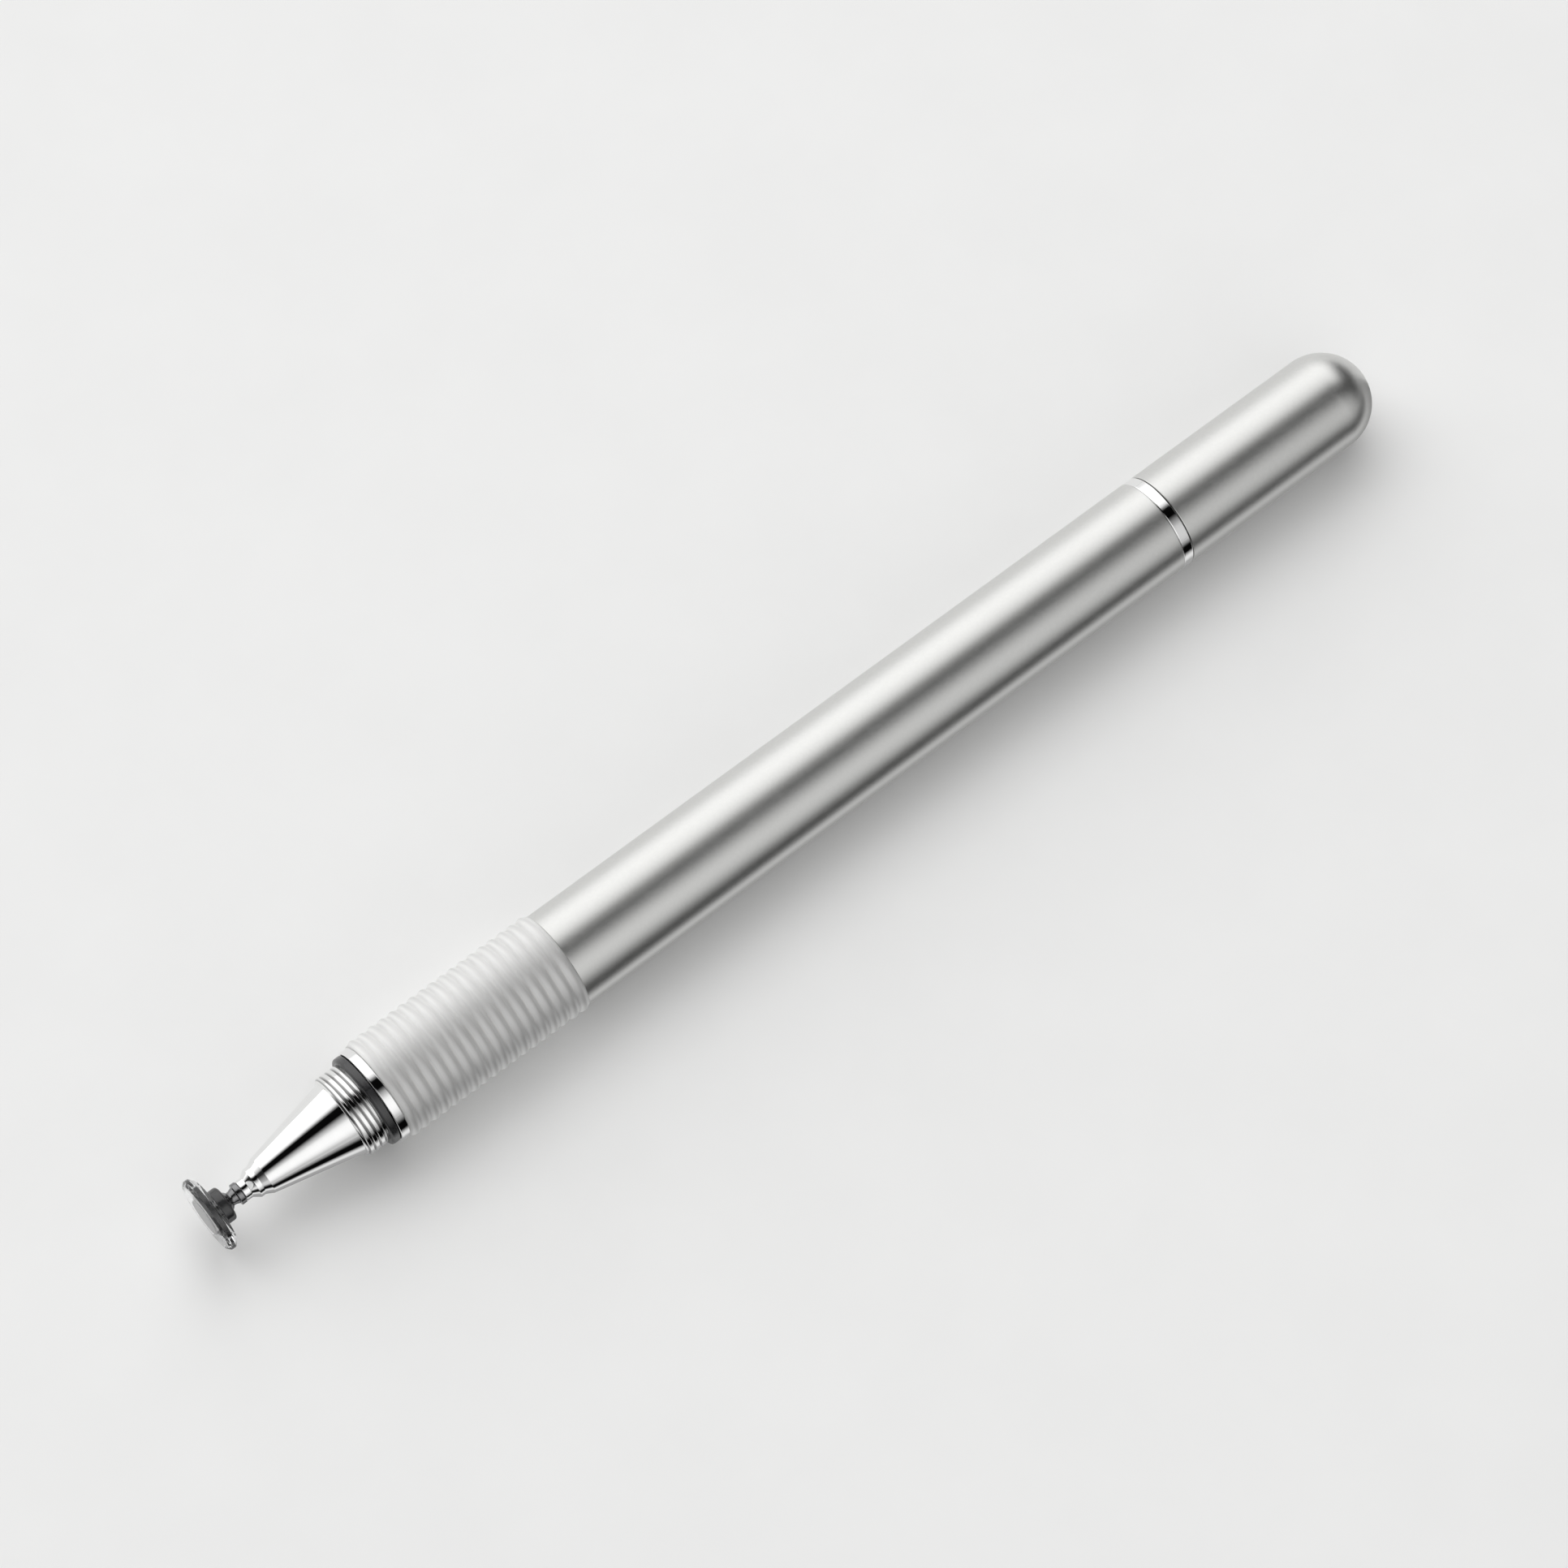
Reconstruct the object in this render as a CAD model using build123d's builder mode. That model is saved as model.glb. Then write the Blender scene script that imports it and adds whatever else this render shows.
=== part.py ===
"""Disc-tip stylus pen with a gel writing point under its screw cap.

The pen lies along X with the touch disc at -X and the domed cap at +X.
Z is up, and the origin is under the middle of the pen, on the surface it lies on.
Every piece is turned, so each is a half section, station along the pen by radius,
spun about the pen's axis.
"""

import os

from build123d import *

os.makedirs("parts", exist_ok=True)


# Driving dimensions, in millimetres

# Fits
fit_clearance = 0.02
running_clearance = 0.04
edge_break = 0.08
cut_overrun = 1.0

# Barrel and the two polished rings at its ends
barrel_diameter = 9.2
barrel_length = 67.1
barrel_wall = 0.5
front_ring_width = 0.9
rear_ring_width = 1.04

# Ribbed grip
grip_length = 19.2
grip_step = 0.09
rib_depth = 0.2
rib_count = 18

# Screw cap
cap_length = 23.45
cap_wall = 0.5
cap_drill_depth = 2.4
cap_seam = 0.06

# Bands for the cap's thread, alike at both ends of the pen
thread_length = 2.08
thread_depth = 0.26
thread_clearance = 0.1

# Rubber gasket behind the front thread, with a narrow groove before it
gasket_width = 0.85
gasket_inset = 0.15
gasket_bevel = 0.2
gasket_groove_width = 0.19
gasket_groove_depth = 0.14

# Threaded bushes inside the barrel
bush_wall = 0.85
front_bush_reach = 8.0
rear_bush_length = 10.0
shank_length = 6.5

# Touch disc with its ball socket
disc_diameter = 7.1
disc_face_diameter = 6.5
disc_front_bevel = 0.27
disc_rim_land = 0.41
disc_rear_bevel = 0.41
disc_shelf_diameter = 6.1
disc_back_rise = 0.2
socket_diameter = 3.3
socket_length = 0.95
socket_bevel = 0.2
socket_lip_depth = 0.5

# Contact pad let into the face of the disc
pad_diameter = 3.5
pad_thickness = 0.22
pad_proud = 0.08
pad_stud_diameter = 1.0

# Ball stem
ball_diameter = 2.2
neck_ball_diameter = 1.3
neck_root_diameter = 1.6
neck_length = 0.98
collar_diameter = 2.04
collar_length = 0.5
stem_end_play = 0.04
stem_shank_diameter = 1.4
stem_guide_length = 4.2
stem_tail_length = 0.6

# Retaining clip on the tail of the stem
clip_diameter = 2.5
clip_thickness = 0.4
clip_groove_depth = 0.2
clip_slot_width = 0.7

# Polished nose
nose_tip_diameter = 1.96
nose_tip_length = 0.57
nose_tip_flare = 0.62
nose_waist_diameter = 2.84
nose_waist_length = 0.42
nose_shoulder_flare = 0.67
cone_small_diameter = 3.56
cone_length = 8.26
cone_shoulder = 0.16
clip_room = 0.12

# Writing nose under the cap
writing_collar_length = 0.7
writing_cone_length = 7.4
writing_lip_diameter = 3.0
writing_lip_length = 0.6

# Gel refill
refill_tube_diameter = 3.2
refill_tube_wall = 0.3
refill_tube_length = 62.0
refill_flange_width = 0.8
refill_spigot_length = 4.0
refill_body_diameter = 1.9
refill_reach = 1.0
refill_point_length = 2.3
refill_point_diameter = 0.9
writing_ball_diameter = 0.7
writing_ball_proud = 0.22
ball_seat_clearance = 0.01


# Radii that follow from the sizes above
barrel_radius = barrel_diameter / 2
barrel_bore_radius = barrel_radius - barrel_wall
rib_valley_radius = barrel_radius + grip_step
rib_crest_radius = rib_valley_radius + rib_depth
cap_bore_radius = barrel_radius - cap_wall
thread_crest_radius = cap_bore_radius - thread_clearance
thread_root_radius = thread_crest_radius - thread_depth
cone_base_radius = thread_root_radius - cone_shoulder
gasket_radius = barrel_radius - gasket_inset
gasket_groove_radius = thread_root_radius - gasket_groove_depth
bush_radius = barrel_bore_radius - fit_clearance
bush_bore_radius = bush_radius - bush_wall
shank_radius = bush_bore_radius - fit_clearance
disc_radius = disc_diameter / 2
disc_face_radius = disc_face_diameter / 2
disc_shelf_radius = disc_shelf_diameter / 2
socket_radius = socket_diameter / 2
pad_radius = pad_diameter / 2
pad_recess_radius = pad_radius + fit_clearance
pad_stud_radius = pad_stud_diameter / 2
pad_hole_radius = pad_stud_radius + fit_clearance
ball_radius = ball_diameter / 2
ball_seat_radius = ball_radius + running_clearance
neck_ball_radius = neck_ball_diameter / 2
neck_root_radius = neck_root_diameter / 2
collar_radius = collar_diameter / 2
stem_shank_radius = stem_shank_diameter / 2
stem_guide_radius = stem_shank_radius + running_clearance
clip_radius = clip_diameter / 2
clip_groove_radius = stem_shank_radius - clip_groove_depth
clip_bore_radius = clip_groove_radius + fit_clearance
nose_cavity_radius = clip_radius + clip_room
nose_tip_radius = nose_tip_diameter / 2
nose_waist_radius = nose_waist_diameter / 2
cone_small_radius = cone_small_diameter / 2
writing_lip_radius = writing_lip_diameter / 2
refill_tube_radius = refill_tube_diameter / 2
refill_bore_radius = refill_tube_radius - refill_tube_wall
refill_spigot_radius = refill_bore_radius - fit_clearance
refill_body_radius = refill_body_diameter / 2
refill_point_radius = refill_point_diameter / 2
writing_ball_radius = writing_ball_diameter / 2
writing_seat_radius = writing_ball_radius + ball_seat_clearance


# Stations along the pen, counted from the face of the contact pad
pad_face = 0
disc_face = pad_face + pad_proud
pad_back = pad_face + pad_thickness
disc_rim_front = disc_face + disc_front_bevel
disc_rim_back = disc_rim_front + disc_rim_land
disc_shelf = disc_rim_back + disc_rear_bevel
disc_back = disc_shelf + disc_back_rise
socket_end = disc_back + socket_length
ball_centre = socket_end - socket_lip_depth
ball_seat_front = ball_centre - ball_seat_radius
collar_front = socket_end + neck_length
collar_back = collar_front + collar_length
nose_front = collar_back + stem_end_play
nose_tip_end = nose_front + nose_tip_length
nose_waist_front = nose_tip_end + nose_tip_flare
nose_waist_end = nose_waist_front + nose_waist_length
cone_front = nose_waist_end + nose_shoulder_flare
cone_end = cone_front + cone_length
thread_end = cone_end + thread_length
gasket_front = thread_end + gasket_groove_width
ring_front = gasket_front + gasket_width
grip_front = ring_front + front_ring_width
grip_end = grip_front + grip_length
barrel_end = grip_end + barrel_length
rear_ring_end = barrel_end + rear_ring_width
cap_mouth = rear_ring_end + cap_seam
cap_end = cap_mouth + cap_length
dome_centre = cap_end - barrel_radius
nose_cavity_front = nose_front + stem_guide_length
clip_front = nose_cavity_front + stem_end_play
clip_back = clip_front + clip_thickness
stem_end = clip_back + stem_tail_length
nose_shank_end = grip_front + shank_length
front_bush_end = grip_end + front_bush_reach
rear_bush_front = barrel_end - rear_bush_length
writing_shank_end = barrel_end - shank_length
writing_thread_end = rear_ring_end + thread_length
writing_collar_end = writing_thread_end + writing_collar_length
writing_cone_end = writing_collar_end + writing_cone_length
writing_lip_end = writing_cone_end + writing_lip_length
refill_seat = writing_collar_end
refill_flange_back = refill_seat - refill_flange_width
refill_spigot_end = refill_flange_back - refill_spigot_length
refill_tube_end = refill_flange_back - refill_tube_length
refill_shoulder = writing_lip_end + refill_reach
refill_tip_end = refill_shoulder + refill_point_length
writing_ball_centre = refill_tip_end + writing_ball_proud - writing_ball_radius


# Half-section plane: local x runs along the pen and local y out from its axis
overall_length = cap_end - pad_face
SECTION = Plane(
    origin=(-overall_length / 2, 0, rib_crest_radius), x_dir=(1, 0, 0), z_dir=(0, -1, 0)
)
PEN_AXIS = Axis(SECTION.origin, (1, 0, 0))


# Touch disc: a smoked plastic plate with bevelled edges and a hub that holds the ball
with BuildPart() as stylus_disc:
    with BuildSketch(SECTION):
        with BuildLine():
            Polyline(
                (disc_face, 0),
                (disc_face, disc_face_radius),
                (disc_rim_front, disc_radius),
                (disc_rim_back, disc_radius),
                (disc_shelf, disc_shelf_radius),
                (disc_back, socket_radius),
                (socket_end, socket_radius),
                (socket_end, 0),
                close=True,
            )
        make_face()
    revolve(axis=PEN_AXIS)
    hub_rim = stylus_disc.faces().sort_by(Axis.X)[-1].edges()
    chamfer(hub_rim, length=socket_bevel)
    with BuildSketch(SECTION):
        with BuildLine():
            Polyline(
                (disc_face - cut_overrun, 0),
                (disc_face - cut_overrun, pad_recess_radius),
                (pad_back, pad_recess_radius),
                (pad_back, pad_hole_radius),
                (ball_centre, pad_hole_radius),
                (ball_centre, 0),
                close=True,
            )
        make_face()
    revolve(axis=PEN_AXIS, mode=Mode.SUBTRACT)
    with BuildSketch(SECTION):
        with BuildLine():
            ball_arc = CenterArc((ball_centre, 0), ball_seat_radius, 0, 180)
            Line(ball_arc @ 1, ball_arc @ 0)
        make_face()
    revolve(axis=PEN_AXIS, mode=Mode.SUBTRACT)
stylus_disc.part.label = "stylus_disc"
export_step(stylus_disc.part, "parts/stylus_disc.step")


# Contact pad: a flat button on the face with a stud that reaches the ball seat
with BuildPart() as contact_pad:
    with BuildSketch(SECTION):
        with BuildLine():
            Polyline(
                (pad_face, 0),
                (pad_face, pad_radius),
                (pad_back, pad_radius),
                (pad_back, pad_stud_radius),
                (ball_seat_front, pad_stud_radius),
                (ball_seat_front, 0),
                close=True,
            )
        make_face()
    revolve(axis=PEN_AXIS)
contact_pad.part.label = "contact_pad"
export_step(contact_pad.part, "parts/contact_pad.step")


# Ball stem: ball, tapered neck, collar and a shank that turns in the nose
with BuildPart() as ball_stem:
    with BuildSketch(SECTION):
        with BuildLine():
            Polyline(
                (ball_centre, 0),
                (ball_centre, neck_ball_radius),
                (ball_centre + ball_radius, neck_ball_radius),
                (collar_front, neck_root_radius),
                (collar_front, collar_radius),
                (collar_back, collar_radius),
                (collar_back, stem_shank_radius),
                (clip_front, stem_shank_radius),
                (clip_front, clip_groove_radius),
                (clip_back, clip_groove_radius),
                (clip_back, stem_shank_radius),
                (stem_end, stem_shank_radius),
                (stem_end, 0),
                close=True,
            )
        make_face()
    revolve(axis=PEN_AXIS)
    with BuildSketch(SECTION):
        with BuildLine():
            head_arc = CenterArc((ball_centre, 0), ball_radius, 0, 180)
            Line(head_arc @ 1, head_arc @ 0)
        make_face()
    revolve(axis=PEN_AXIS)
ball_stem.part.label = "ball_stem"
export_step(ball_stem.part, "parts/ball_stem.step")


# Retaining clip: an open ring snapped into the groove of the stem
with BuildPart() as stem_clip:
    with BuildSketch(SECTION):
        with BuildLine():
            Polyline(
                (clip_front, clip_bore_radius),
                (clip_front, clip_radius),
                (clip_back - fit_clearance, clip_radius),
                (clip_back - fit_clearance, clip_bore_radius),
                close=True,
            )
        make_face()
    revolve(axis=PEN_AXIS)
    with BuildSketch(SECTION):
        with BuildLine():
            Polyline(
                (clip_front - cut_overrun, 0),
                (clip_front - cut_overrun, clip_radius + cut_overrun),
                (clip_back + cut_overrun, clip_radius + cut_overrun),
                (clip_back + cut_overrun, 0),
                close=True,
            )
        make_face()
    extrude(amount=clip_slot_width / 2, both=True, mode=Mode.SUBTRACT)
stem_clip.part.label = "stem_clip"
export_step(stem_clip.part, "parts/stem_clip.step")


# Polished nose: stepped tip, long cone, band for the cap's thread and a shank in the front bush
with BuildPart() as nose_cone:
    with BuildSketch(SECTION):
        with BuildLine():
            Polyline(
                (nose_front, stem_guide_radius),
                (nose_front, nose_tip_radius - edge_break),
                (nose_front + edge_break, nose_tip_radius),
                (nose_tip_end, nose_tip_radius),
                (nose_waist_front, nose_waist_radius),
                (nose_waist_end, nose_waist_radius),
                (cone_front, cone_small_radius),
                (cone_end, cone_base_radius),
                (cone_end, thread_root_radius),
                (cone_end + thread_depth, thread_crest_radius),
                (thread_end, thread_crest_radius),
                (thread_end, gasket_groove_radius),
                (gasket_front, gasket_groove_radius),
                (gasket_front, shank_radius),
                (nose_shank_end, shank_radius),
                (nose_shank_end, nose_cavity_radius),
                (nose_cavity_front, nose_cavity_radius),
                (nose_cavity_front, stem_guide_radius),
                close=True,
            )
        make_face()
    revolve(axis=PEN_AXIS)
nose_cone.part.label = "nose_cone"
export_step(nose_cone.part, "parts/nose_cone.step")


# Rubber gasket: a band with bevelled outer edges
with BuildPart() as front_gasket:
    with BuildSketch(SECTION):
        with BuildLine():
            Polyline(
                (gasket_front, bush_bore_radius),
                (gasket_front, gasket_radius),
                (ring_front, gasket_radius),
                (ring_front, bush_bore_radius),
                close=True,
            )
        make_face()
    revolve(axis=PEN_AXIS)
    gasket_rims = front_gasket.edges().filter_by(GeomType.CIRCLE).sort_by(SortBy.RADIUS)[-2:]
    chamfer(gasket_rims, length=gasket_bevel)
front_gasket.part.label = "front_gasket"
export_step(front_gasket.part, "parts/front_gasket.step")


# Front ring: a polished band between the gasket and the grip
with BuildPart() as front_ring:
    with BuildSketch(SECTION):
        with BuildLine():
            Polyline(
                (ring_front, bush_bore_radius),
                (ring_front, barrel_radius),
                (grip_front, barrel_radius),
                (grip_front, bush_bore_radius),
                close=True,
            )
        make_face()
    revolve(axis=PEN_AXIS)
    front_ring_rims = front_ring.edges().filter_by(GeomType.CIRCLE).sort_by(SortBy.RADIUS)[-2:]
    chamfer(front_ring_rims, length=edge_break)
front_ring.part.label = "front_ring"
export_step(front_ring.part, "parts/front_ring.step")


# Grip: a sleeve with a row of ribs
rib_pitch = grip_length / rib_count
with BuildPart() as grip_sleeve:
    with BuildSketch(SECTION):
        with BuildLine():
            Polyline(
                (grip_end, rib_valley_radius),
                (grip_end, barrel_bore_radius),
                (grip_front, barrel_bore_radius),
                (grip_front, rib_valley_radius),
            )
            for rib in range(rib_count):
                rib_left = grip_front + rib * rib_pitch
                Polyline(
                    (rib_left, rib_valley_radius),
                    (rib_left + rib_pitch / 2, rib_crest_radius),
                    (rib_left + rib_pitch, rib_valley_radius),
                )
        make_face()
    revolve(axis=PEN_AXIS)
grip_sleeve.part.label = "grip_sleeve"
export_step(grip_sleeve.part, "parts/grip_sleeve.step")


# Front bush: joins grip and barrel from inside and takes the shank of the nose
with BuildPart() as front_bush:
    with BuildSketch(SECTION):
        with BuildLine():
            Polyline(
                (grip_front, bush_bore_radius),
                (grip_front, bush_radius),
                (front_bush_end, bush_radius),
                (front_bush_end, bush_bore_radius),
                close=True,
            )
        make_face()
    revolve(axis=PEN_AXIS)
front_bush.part.label = "front_bush"
export_step(front_bush.part, "parts/front_bush.step")


# Barrel: a plain drawn tube
with BuildPart() as barrel_tube:
    with BuildSketch(SECTION):
        with BuildLine():
            Polyline(
                (grip_end, barrel_bore_radius),
                (grip_end, barrel_radius),
                (barrel_end, barrel_radius),
                (barrel_end, barrel_bore_radius),
                close=True,
            )
        make_face()
    revolve(axis=PEN_AXIS)
    barrel_rims = barrel_tube.edges().filter_by(GeomType.CIRCLE).sort_by(SortBy.RADIUS)[-2:]
    chamfer(barrel_rims, length=edge_break)
barrel_tube.part.label = "barrel_tube"
export_step(barrel_tube.part, "parts/barrel_tube.step")


# Rear bush: seated in the end of the barrel and takes the shank of the writing nose
with BuildPart() as rear_bush:
    with BuildSketch(SECTION):
        with BuildLine():
            Polyline(
                (rear_bush_front, bush_bore_radius),
                (rear_bush_front, bush_radius),
                (barrel_end, bush_radius),
                (barrel_end, bush_bore_radius),
                close=True,
            )
        make_face()
    revolve(axis=PEN_AXIS)
rear_bush.part.label = "rear_bush"
export_step(rear_bush.part, "parts/rear_bush.step")


# Rear ring: a polished band between the barrel and the cap
with BuildPart() as rear_ring:
    with BuildSketch(SECTION):
        with BuildLine():
            Polyline(
                (barrel_end, bush_bore_radius),
                (barrel_end, barrel_radius),
                (rear_ring_end, barrel_radius),
                (rear_ring_end, bush_bore_radius),
                close=True,
            )
        make_face()
    revolve(axis=PEN_AXIS)
    rear_ring_rims = rear_ring.edges().filter_by(GeomType.CIRCLE).sort_by(SortBy.RADIUS)[-2:]
    chamfer(rear_ring_rims, length=edge_break)
rear_ring.part.label = "rear_ring"
export_step(rear_ring.part, "parts/rear_ring.step")


# Writing nose: shank, band for the cap's thread and a short cone around the refill
refill_hole_radius = refill_tube_radius + fit_clearance
writing_hole_radius = refill_body_radius + fit_clearance
with BuildPart() as writing_nose:
    with BuildSketch(SECTION):
        with BuildLine():
            Polyline(
                (writing_shank_end, refill_hole_radius),
                (writing_shank_end, shank_radius),
                (rear_ring_end, shank_radius),
                (rear_ring_end, thread_crest_radius),
                (writing_thread_end - thread_depth, thread_crest_radius),
                (writing_thread_end, thread_root_radius),
                (writing_thread_end, cone_base_radius),
                (writing_collar_end, cone_base_radius),
                (writing_cone_end, writing_lip_radius),
                (writing_lip_end, writing_lip_radius),
                (writing_lip_end, writing_hole_radius),
                (refill_seat, writing_hole_radius),
                (refill_seat, refill_hole_radius),
                close=True,
            )
        make_face()
    revolve(axis=PEN_AXIS)
    writing_rim = writing_nose.faces().sort_by(Axis.X)[-1].edges().sort_by(SortBy.RADIUS)[-1]
    chamfer(writing_rim, length=edge_break)
writing_nose.part.label = "writing_nose"
export_step(writing_nose.part, "parts/writing_nose.step")


# Refill tube: a plain plastic tube that holds the ink
with BuildPart() as refill_tube:
    with BuildSketch(SECTION):
        with BuildLine():
            Polyline(
                (refill_tube_end, refill_bore_radius),
                (refill_tube_end, refill_tube_radius),
                (refill_flange_back, refill_tube_radius),
                (refill_flange_back, refill_bore_radius),
                close=True,
            )
        make_face()
    revolve(axis=PEN_AXIS)
refill_tube.part.label = "refill_tube"
export_step(refill_tube.part, "parts/refill_tube.step")


# Refill tip: spigot in the tube, flange on the seat, body through the nose and a tapered point
with BuildPart() as refill_tip:
    with BuildSketch(SECTION):
        with BuildLine():
            Polyline(
                (refill_spigot_end, 0),
                (refill_spigot_end, refill_spigot_radius),
                (refill_flange_back, refill_spigot_radius),
                (refill_flange_back, refill_tube_radius),
                (refill_seat, refill_tube_radius),
                (refill_seat, refill_body_radius),
                (refill_shoulder, refill_body_radius),
                (refill_tip_end, refill_point_radius),
                (refill_tip_end, writing_seat_radius),
                (writing_ball_centre - writing_seat_radius, writing_seat_radius),
                (writing_ball_centre - writing_seat_radius, 0),
                close=True,
            )
        make_face()
    revolve(axis=PEN_AXIS)
refill_tip.part.label = "refill_tip"
export_step(refill_tip.part, "parts/refill_tip.step")


# Writing ball: the rolling ball held in the end of the refill tip
with BuildPart() as writing_ball:
    with BuildSketch(SECTION):
        with BuildLine():
            roll_arc = CenterArc((writing_ball_centre, 0), writing_ball_radius, 0, 180)
            Line(roll_arc @ 1, roll_arc @ 0)
        make_face()
    revolve(axis=PEN_AXIS)
writing_ball.part.label = "writing_ball"
export_step(writing_ball.part, "parts/writing_ball.step")


# Cap: a shell with a round dome, bored from its mouth with a drill-pointed end
with BuildPart() as cap_shell:
    with BuildSketch(SECTION):
        with BuildLine():
            mouth = Polyline(
                (dome_centre, cap_bore_radius),
                (cap_mouth, cap_bore_radius),
                (cap_mouth, barrel_radius),
                (dome_centre, barrel_radius),
            )
            outer_dome = TangentArc(mouth @ 1, (cap_end, 0), tangent=(1, 0))
            drill_point = Line(mouth @ 0, (dome_centre + cap_drill_depth, 0))
            Line(drill_point @ 1, outer_dome @ 1)
        make_face()
    revolve(axis=PEN_AXIS)
    cap_rims = cap_shell.faces().sort_by(Axis.X)[0].edges()
    chamfer(cap_rims, length=edge_break)
cap_shell.part.label = "cap_shell"
export_step(cap_shell.part, "parts/cap_shell.step")
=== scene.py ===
"""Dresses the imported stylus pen: turned surfaces, metal and plastic finishes, floor, light and camera.

The pen lies along X with the touch disc at -X and the domed cap at +X, and its axis is level.
Every visible piece is a profile, station along the pen by radius, carried round the pen's axis.
"""

import math

import bpy
import numpy as np
from bpy.props import FloatProperty, FloatVectorProperty, IntProperty, PointerProperty
from mathutils import Matrix, Vector


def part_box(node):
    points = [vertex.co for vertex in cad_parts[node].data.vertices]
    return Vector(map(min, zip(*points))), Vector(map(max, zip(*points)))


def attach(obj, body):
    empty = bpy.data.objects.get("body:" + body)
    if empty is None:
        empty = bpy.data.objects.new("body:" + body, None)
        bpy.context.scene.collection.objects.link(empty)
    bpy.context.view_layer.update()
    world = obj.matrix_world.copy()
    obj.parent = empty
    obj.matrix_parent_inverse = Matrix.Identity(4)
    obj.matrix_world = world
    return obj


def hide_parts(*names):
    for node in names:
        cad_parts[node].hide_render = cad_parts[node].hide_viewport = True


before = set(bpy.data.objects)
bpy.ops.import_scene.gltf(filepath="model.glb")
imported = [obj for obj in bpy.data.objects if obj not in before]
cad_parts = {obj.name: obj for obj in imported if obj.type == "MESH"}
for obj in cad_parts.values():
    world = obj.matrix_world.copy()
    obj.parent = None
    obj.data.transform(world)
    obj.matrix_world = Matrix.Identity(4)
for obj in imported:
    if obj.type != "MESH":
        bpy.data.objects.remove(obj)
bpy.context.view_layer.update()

bl_info = {
    "name": "Stylus pen",
    "version": (1, 0, 0),
    "blender": (4, 5, 0),
    "location": "View3D > Sidebar > Pen",
    "description": "Turned pieces, finishes and stage of a disc-tip stylus pen",
    "category": "Object",
}

BARREL_LOW, BARREL_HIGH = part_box("barrel_tube")
AXIS_Z = (BARREL_LOW.z + BARREL_HIGH.z) / 2
FULL_TURN = 2 * math.pi
MM = 0.001
MICRON = 0.001 * MM

# Spacing of the nodes in their editor.
NODE_STEP = 200
# Distance of a profile's support points from its arcs, and the distance below which two points are one.
SUPPORT = 0.03 * MM
SAME_POINT = 1e-8
# Share of the shorter run at a corner that its rounding may take.
ROOM = 0.45
# Share of the cavity's radius at which a point keeps the corner of its end face sharp.
STEP_POINT = 0.99
# Room between pieces that fit into each other, and roundings of edges from sharp to blended.
CLEARANCE = 0.02 * MM
CRISP, FINE, SOFT, BLENDED = 0.03 * MM, 0.04 * MM, 0.12 * MM, 0.2 * MM
# Points along the threads, and round the ball, the dome and the small round forms.
THREAD_ROWS, CAP_THREAD_ROWS = 120, 84
BALL_STEPS, DOME_STEPS, SMALL_STEPS = 40, 48, 24
# Share of the pitch over which the threads of the writing nose and of the cap run out.
WRITING_FADE, CAP_FADE = 0.3, 0.6
# Share of a thread's depth, below its root, over which the painted shade of the root fades.
ROOT_MARGIN = 0.3
# Roughness that handling marks add to turned metal and to grained finishes.
METAL_DULLING = {"Smudge": 0.06, "Scratch": 0.05}
GRAIN_DULLING = {"Smudge": 0.05}
# Noise levels between which streaks, smudges, scratches and flecks come up.
STREAKS, SMUDGES, SCRATCHES, FLECKS = (0.3, 0.7), (0.46, 0.72), (0.71, 0.75), (0.35, 0.65)
# Rates of streaks to lines, flecks to grain, smudges to the metre, and scratches along and round the pen.
STREAK_RATE, FLECK_RATE, SMUDGE_RATE, SCRATCH_RATES = 0.23, 0.3, 150.0, (90.0, 60.0)

# Brightness of the studio by degrees from the near horizon, over the top, to the far one.
NEAR_SIDE = (
    (0, 0.54), (7, 0.76), (15, 0.94), (23, 1), (31, 1), (39, 0.98),
    (47, 0.88), (55, 0.58), (62, 0.36), (68, 0.13), (73, 0.002),
)
FAR_SIDE = (
    (93, 0.002), (98, 0.2), (102, 0.5), (108, 0.76), (115, 0.86), (127, 0.94), (143, 1),
    (155, 1), (167, 0.87), (175, 0.72), (180, 0.6),
)
# Brightness of the floor card, a painted reflection, by millimetres from the pen's axis.
FLOOR_CARD = (
    (900, 0.5), (90, 0.38), (50, 0.3), (36, 0.18), (27, 0.05), (22, 0.002), (11.6, 0.002),
    (10.6, 0.12), (9.2, 0.46), (8, 0.78), (7, 0.84), (6, 0.66), (5.3, 0.4), (0.1, 0.26),
)
# Stations between which the card's bands widen, and how many times wider they get.
CARD_REACH = (-45 * MM, 55 * MM)
CARD_WIDENING = 1.28
# Parts of a direction along the pen between which the lamps slant and the near lamp fades.
SLANT_REACH = (0.05, 0.36)
FADE_REACH = (0.2, 0.36)
# Parts along the pen between which the lamps give way to the end walls, and one end wall to the other.
DISC_END, CAP_END = (-0.6, -0.8), (0.66, 0.86)
END_CHANGE = (-0.1, 0.1)
# Upward parts of a direction between which each end wall turns from pale to dark.
DISC_WALL, CAP_WALL = (0.1, 0.34), (-0.04, 0.1)
# Floor and card in metres. The lamp's angles are degrees above the near horizon.
FLOOR_REACH = 3
CARD_LOW, CARD_HIGH = (-0.3, -1), (0.3, 0)
LAMP_DISTANCE, LAMP_LENGTH, LAMP_ANGLES = 0.7, 0.8, (70, 140)


def length(millimetres, about):
    """A size property, written in millimetres and kept in metres."""
    return FloatProperty(description=about, default=millimetres * MM, min=0, precision=5, unit="LENGTH")


def count(value, least, about):
    """A whole number with a lower limit."""
    return IntProperty(description=about, default=value, min=least)


def brightness(value, about):
    """The level of a light."""
    return FloatProperty(description=about, default=value, min=0)


def tint(colour, about):
    """A colour property."""
    return FloatVectorProperty(description=about, default=(*colour, 1), size=4, min=0, max=1, subtype="COLOR")


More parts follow.
